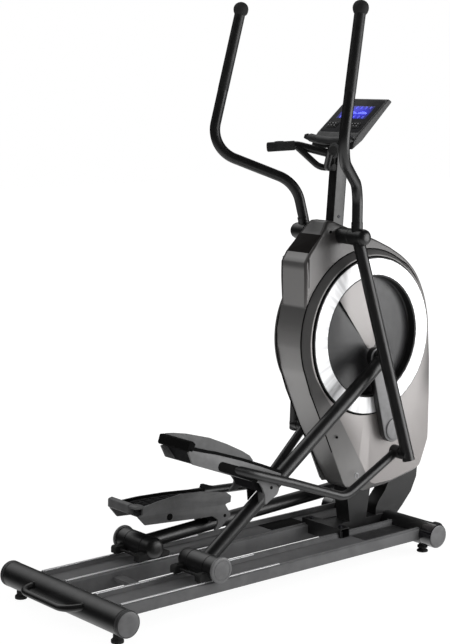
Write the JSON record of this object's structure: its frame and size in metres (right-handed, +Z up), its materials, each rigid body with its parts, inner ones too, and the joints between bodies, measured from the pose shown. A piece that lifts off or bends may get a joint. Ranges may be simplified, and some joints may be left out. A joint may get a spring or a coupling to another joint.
{
  "type": "elliptical trainer",
  "caption": "Upright elliptical cross-trainer: a tall housing with round side rings drives cranks, swinging handles and pedals that roll on rails along a long low base.",
  "frame": {"origin": "centre of the footprint's bounding box, on the floor", "axes": "+X forward, the way the user faces; +Y to the user's left; +Z up"},
  "size_m": [1.486, 0.619, 1.728],
  "materials": {
    "frame_paint": "satin black",
    "track_paint": "satin dark",
    "bright_trim": "bright",
    "shroud_grey": "satin metallic grey",
    "spine_grey": "satin metallic dark grey",
    "disc_grey": "satin",
    "cap_grey": "satin",
    "black_plastic": "textured",
    "gloss_black": "polished",
    "screen": "glossy",
    "black_rubber": "matte",
    "steel": "machined"
  },
  "bodies": {
    "frame": {"rear_stabilizer": "frame_paint", "front_stabilizer": "frame_paint", "carry_handle": "frame_paint", "main_frame": "frame_paint", "spine_cover": "spine_grey", "window": "gloss_black", "drive_belt": "black_rubber", "mast": "frame_paint", "fixed_handlebar": "frame_paint", "console_housing": "black_plastic", "display": "screen", "pivot_axle": "frame_paint", "rear_cap_l": "cap_grey", "front_cap_l": "cap_grey", "rear_foot_l": "black_rubber", "track_l": "track_paint", "rail_outer_l": "bright_trim", "rail_inner_l": "bright_trim", "side_cover_l": "shroud_grey", "ring_l": "bright_trim", "disc_l": "disc_grey", "bar_grip_l": "black_rubber", "rear_cap_r": "cap_grey", "front_cap_r": "cap_grey", "rear_foot_r": "black_rubber", "track_r": "track_paint", "rail_outer_r": "bright_trim", "rail_inner_r": "bright_trim", "side_cover_r": "shroud_grey", "ring_r": "bright_trim", "disc_r": "disc_grey", "bar_grip_r": "black_rubber"},
    "crank": {"drive_pulley": "steel", "crank_arm_l": "cap_grey", "crank_arm_r": "cap_grey"},
    "flywheel": {"flywheel": "steel"},
    "carriage_l": {"carriage_l": "frame_paint"},
    "wheels_l": {"wheelset_l": "black_rubber"},
    "tube_l": {"main_tube_l": "frame_paint"},
    "pedal_l": {"pedal_arm_l": "frame_paint", "pedal_l": "black_plastic"},
    "arm_l": {"swing_arm_l": "frame_paint", "upper_handle_l": "frame_paint", "handle_grip_l": "black_rubber"},
    "transport_l": {"transport_wheel_l": "black_rubber"},
    "leveller_l": {"front_foot_l": "black_rubber"},
    "keypad_l": {"keypad_l": "black_rubber"},
    "carriage_r": {"carriage_r": "frame_paint"},
    "wheels_r": {"wheelset_r": "black_rubber"},
    "tube_r": {"main_tube_r": "frame_paint"},
    "pedal_r": {"pedal_arm_r": "frame_paint", "pedal_r": "black_plastic"},
    "arm_r": {"swing_arm_r": "frame_paint", "upper_handle_r": "frame_paint", "handle_grip_r": "black_rubber"},
    "transport_r": {"transport_wheel_r": "black_rubber"},
    "leveller_r": {"front_foot_r": "black_rubber"},
    "keypad_r": {"keypad_r": "black_rubber"}
  },
  "joints": [
    {"name": "crank_turn", "type": "hinge", "parent": "frame", "child": "crank", "pos_m": [0.525, 0, 0.401], "axis": [0, 1, 0], "range_deg": [-20, 20]},
    {"name": "flywheel_spin", "type": "hinge", "parent": "frame", "child": "flywheel", "pos_m": [0.453, 0, 0.703], "axis": [0, 1, 0], "range_deg": [-126, 126]},
    {"name": "carriage_slide_l", "type": "slide", "parent": "frame", "child": "carriage_l", "axis": [1, 0, 0], "range_m": [-0.0844, 0.0844]},
    {"name": "wheel_roll_l", "type": "hinge", "parent": "carriage_l", "child": "wheels_l", "pos_m": [-0.33454, 0, 0.1015], "axis": [0, 1, 0], "range_deg": [-336, 336]},
    {"name": "roller_pivot_l", "type": "hinge", "parent": "carriage_l", "child": "tube_l", "pos_m": [-0.29054, 0, 0.121], "axis": [0, 1, 0], "range_deg": [-1.68, 1.68]},
    {"name": "pedal_pivot_l", "type": "hinge", "parent": "tube_l", "child": "pedal_l", "pos_m": [-0.01491, 0, 0.17878], "axis": [0, 1, 0], "range_deg": [-1.12, 1.12]},
    {"name": "arm_swing_l", "type": "hinge", "parent": "frame", "child": "arm_l", "pos_m": [0.35, 0, 1.024], "axis": [0, 1, 0], "range_deg": [-7.02, 7.02]},
    {"name": "transport_roll_l", "type": "hinge", "parent": "frame", "child": "transport_l", "pos_m": [0.613, 0.225, 0.072], "axis": [0, 1, 0], "continuous": true},
    {"name": "leveller_turn_l", "type": "hinge", "parent": "frame", "child": "leveller_l", "pos_m": [0.597, 0.185, 0], "axis": [0, 0, 1], "continuous": true},
    {"name": "carriage_slide_r", "type": "slide", "parent": "frame", "child": "carriage_r", "axis": [1, 0, 0], "range_m": [-0.1007, 0.1007]},
    {"name": "wheel_roll_r", "type": "hinge", "parent": "carriage_r", "child": "wheels_r", "pos_m": [-0.31555, 0, 0.1015], "axis": [0, 1, 0], "range_deg": [-401, 401]},
    {"name": "roller_pivot_r", "type": "hinge", "parent": "carriage_r", "child": "tube_r", "pos_m": [-0.27155, 0, 0.121], "axis": [0, 1, 0], "range_deg": [-2.04, 2.04]},
    {"name": "pedal_pivot_r", "type": "hinge", "parent": "tube_r", "child": "pedal_r", "pos_m": [-0.07194, 0, 0.31966], "axis": [0, 1, 0], "range_deg": [-1.56, 1.56]},
    {"name": "arm_swing_r", "type": "hinge", "parent": "frame", "child": "arm_r", "pos_m": [0.35, 0, 1.024], "axis": [0, 1, 0], "range_deg": [-8.09, 8.09]},
    {"name": "transport_roll_r", "type": "hinge", "parent": "frame", "child": "transport_r", "pos_m": [0.613, -0.225, 0.072], "axis": [0, 1, 0], "continuous": true},
    {"name": "leveller_turn_r", "type": "hinge", "parent": "frame", "child": "leveller_r", "pos_m": [0.597, -0.185, 0], "axis": [0, 0, 1], "continuous": true},
    {"name": "keypad_press_l", "type": "slide", "parent": "frame", "child": "keypad_l", "axis": [0.6269, 0, -0.7791], "range_m": [0, 0.0014], "stiffness_N_per_m": 600, "springref_m": -0.0015},
    {"name": "keypad_press_r", "type": "slide", "parent": "frame", "child": "keypad_r", "axis": [0.6269, 0, -0.7791], "range_m": [0, 0.0014], "stiffness_N_per_m": 600, "springref_m": -0.0015}
  ],
  "couplings": [
    {"joint": "flywheel_spin", "follows": "crank_turn", "ratio": 6.25},
    {"joint": "carriage_slide_l", "follows": "crank_turn", "m_per_rad": -0.24},
    {"joint": "wheel_roll_l", "follows": "crank_turn", "ratio": -16.667},
    {"joint": "roller_pivot_l", "follows": "crank_turn", "ratio": 0.0817},
    {"joint": "pedal_pivot_l", "follows": "crank_turn", "ratio": -0.0535},
    {"joint": "arm_swing_l", "follows": "crank_turn", "ratio": 0.3487},
    {"joint": "carriage_slide_r", "follows": "crank_turn", "m_per_rad": 0.2867},
    {"joint": "wheel_roll_r", "follows": "crank_turn", "ratio": 19.91},
    {"joint": "roller_pivot_r", "follows": "crank_turn", "ratio": -0.0995},
    {"joint": "pedal_pivot_r", "follows": "crank_turn", "ratio": 0.0754},
    {"joint": "arm_swing_r", "follows": "crank_turn", "ratio": -0.4019}
  ]
}
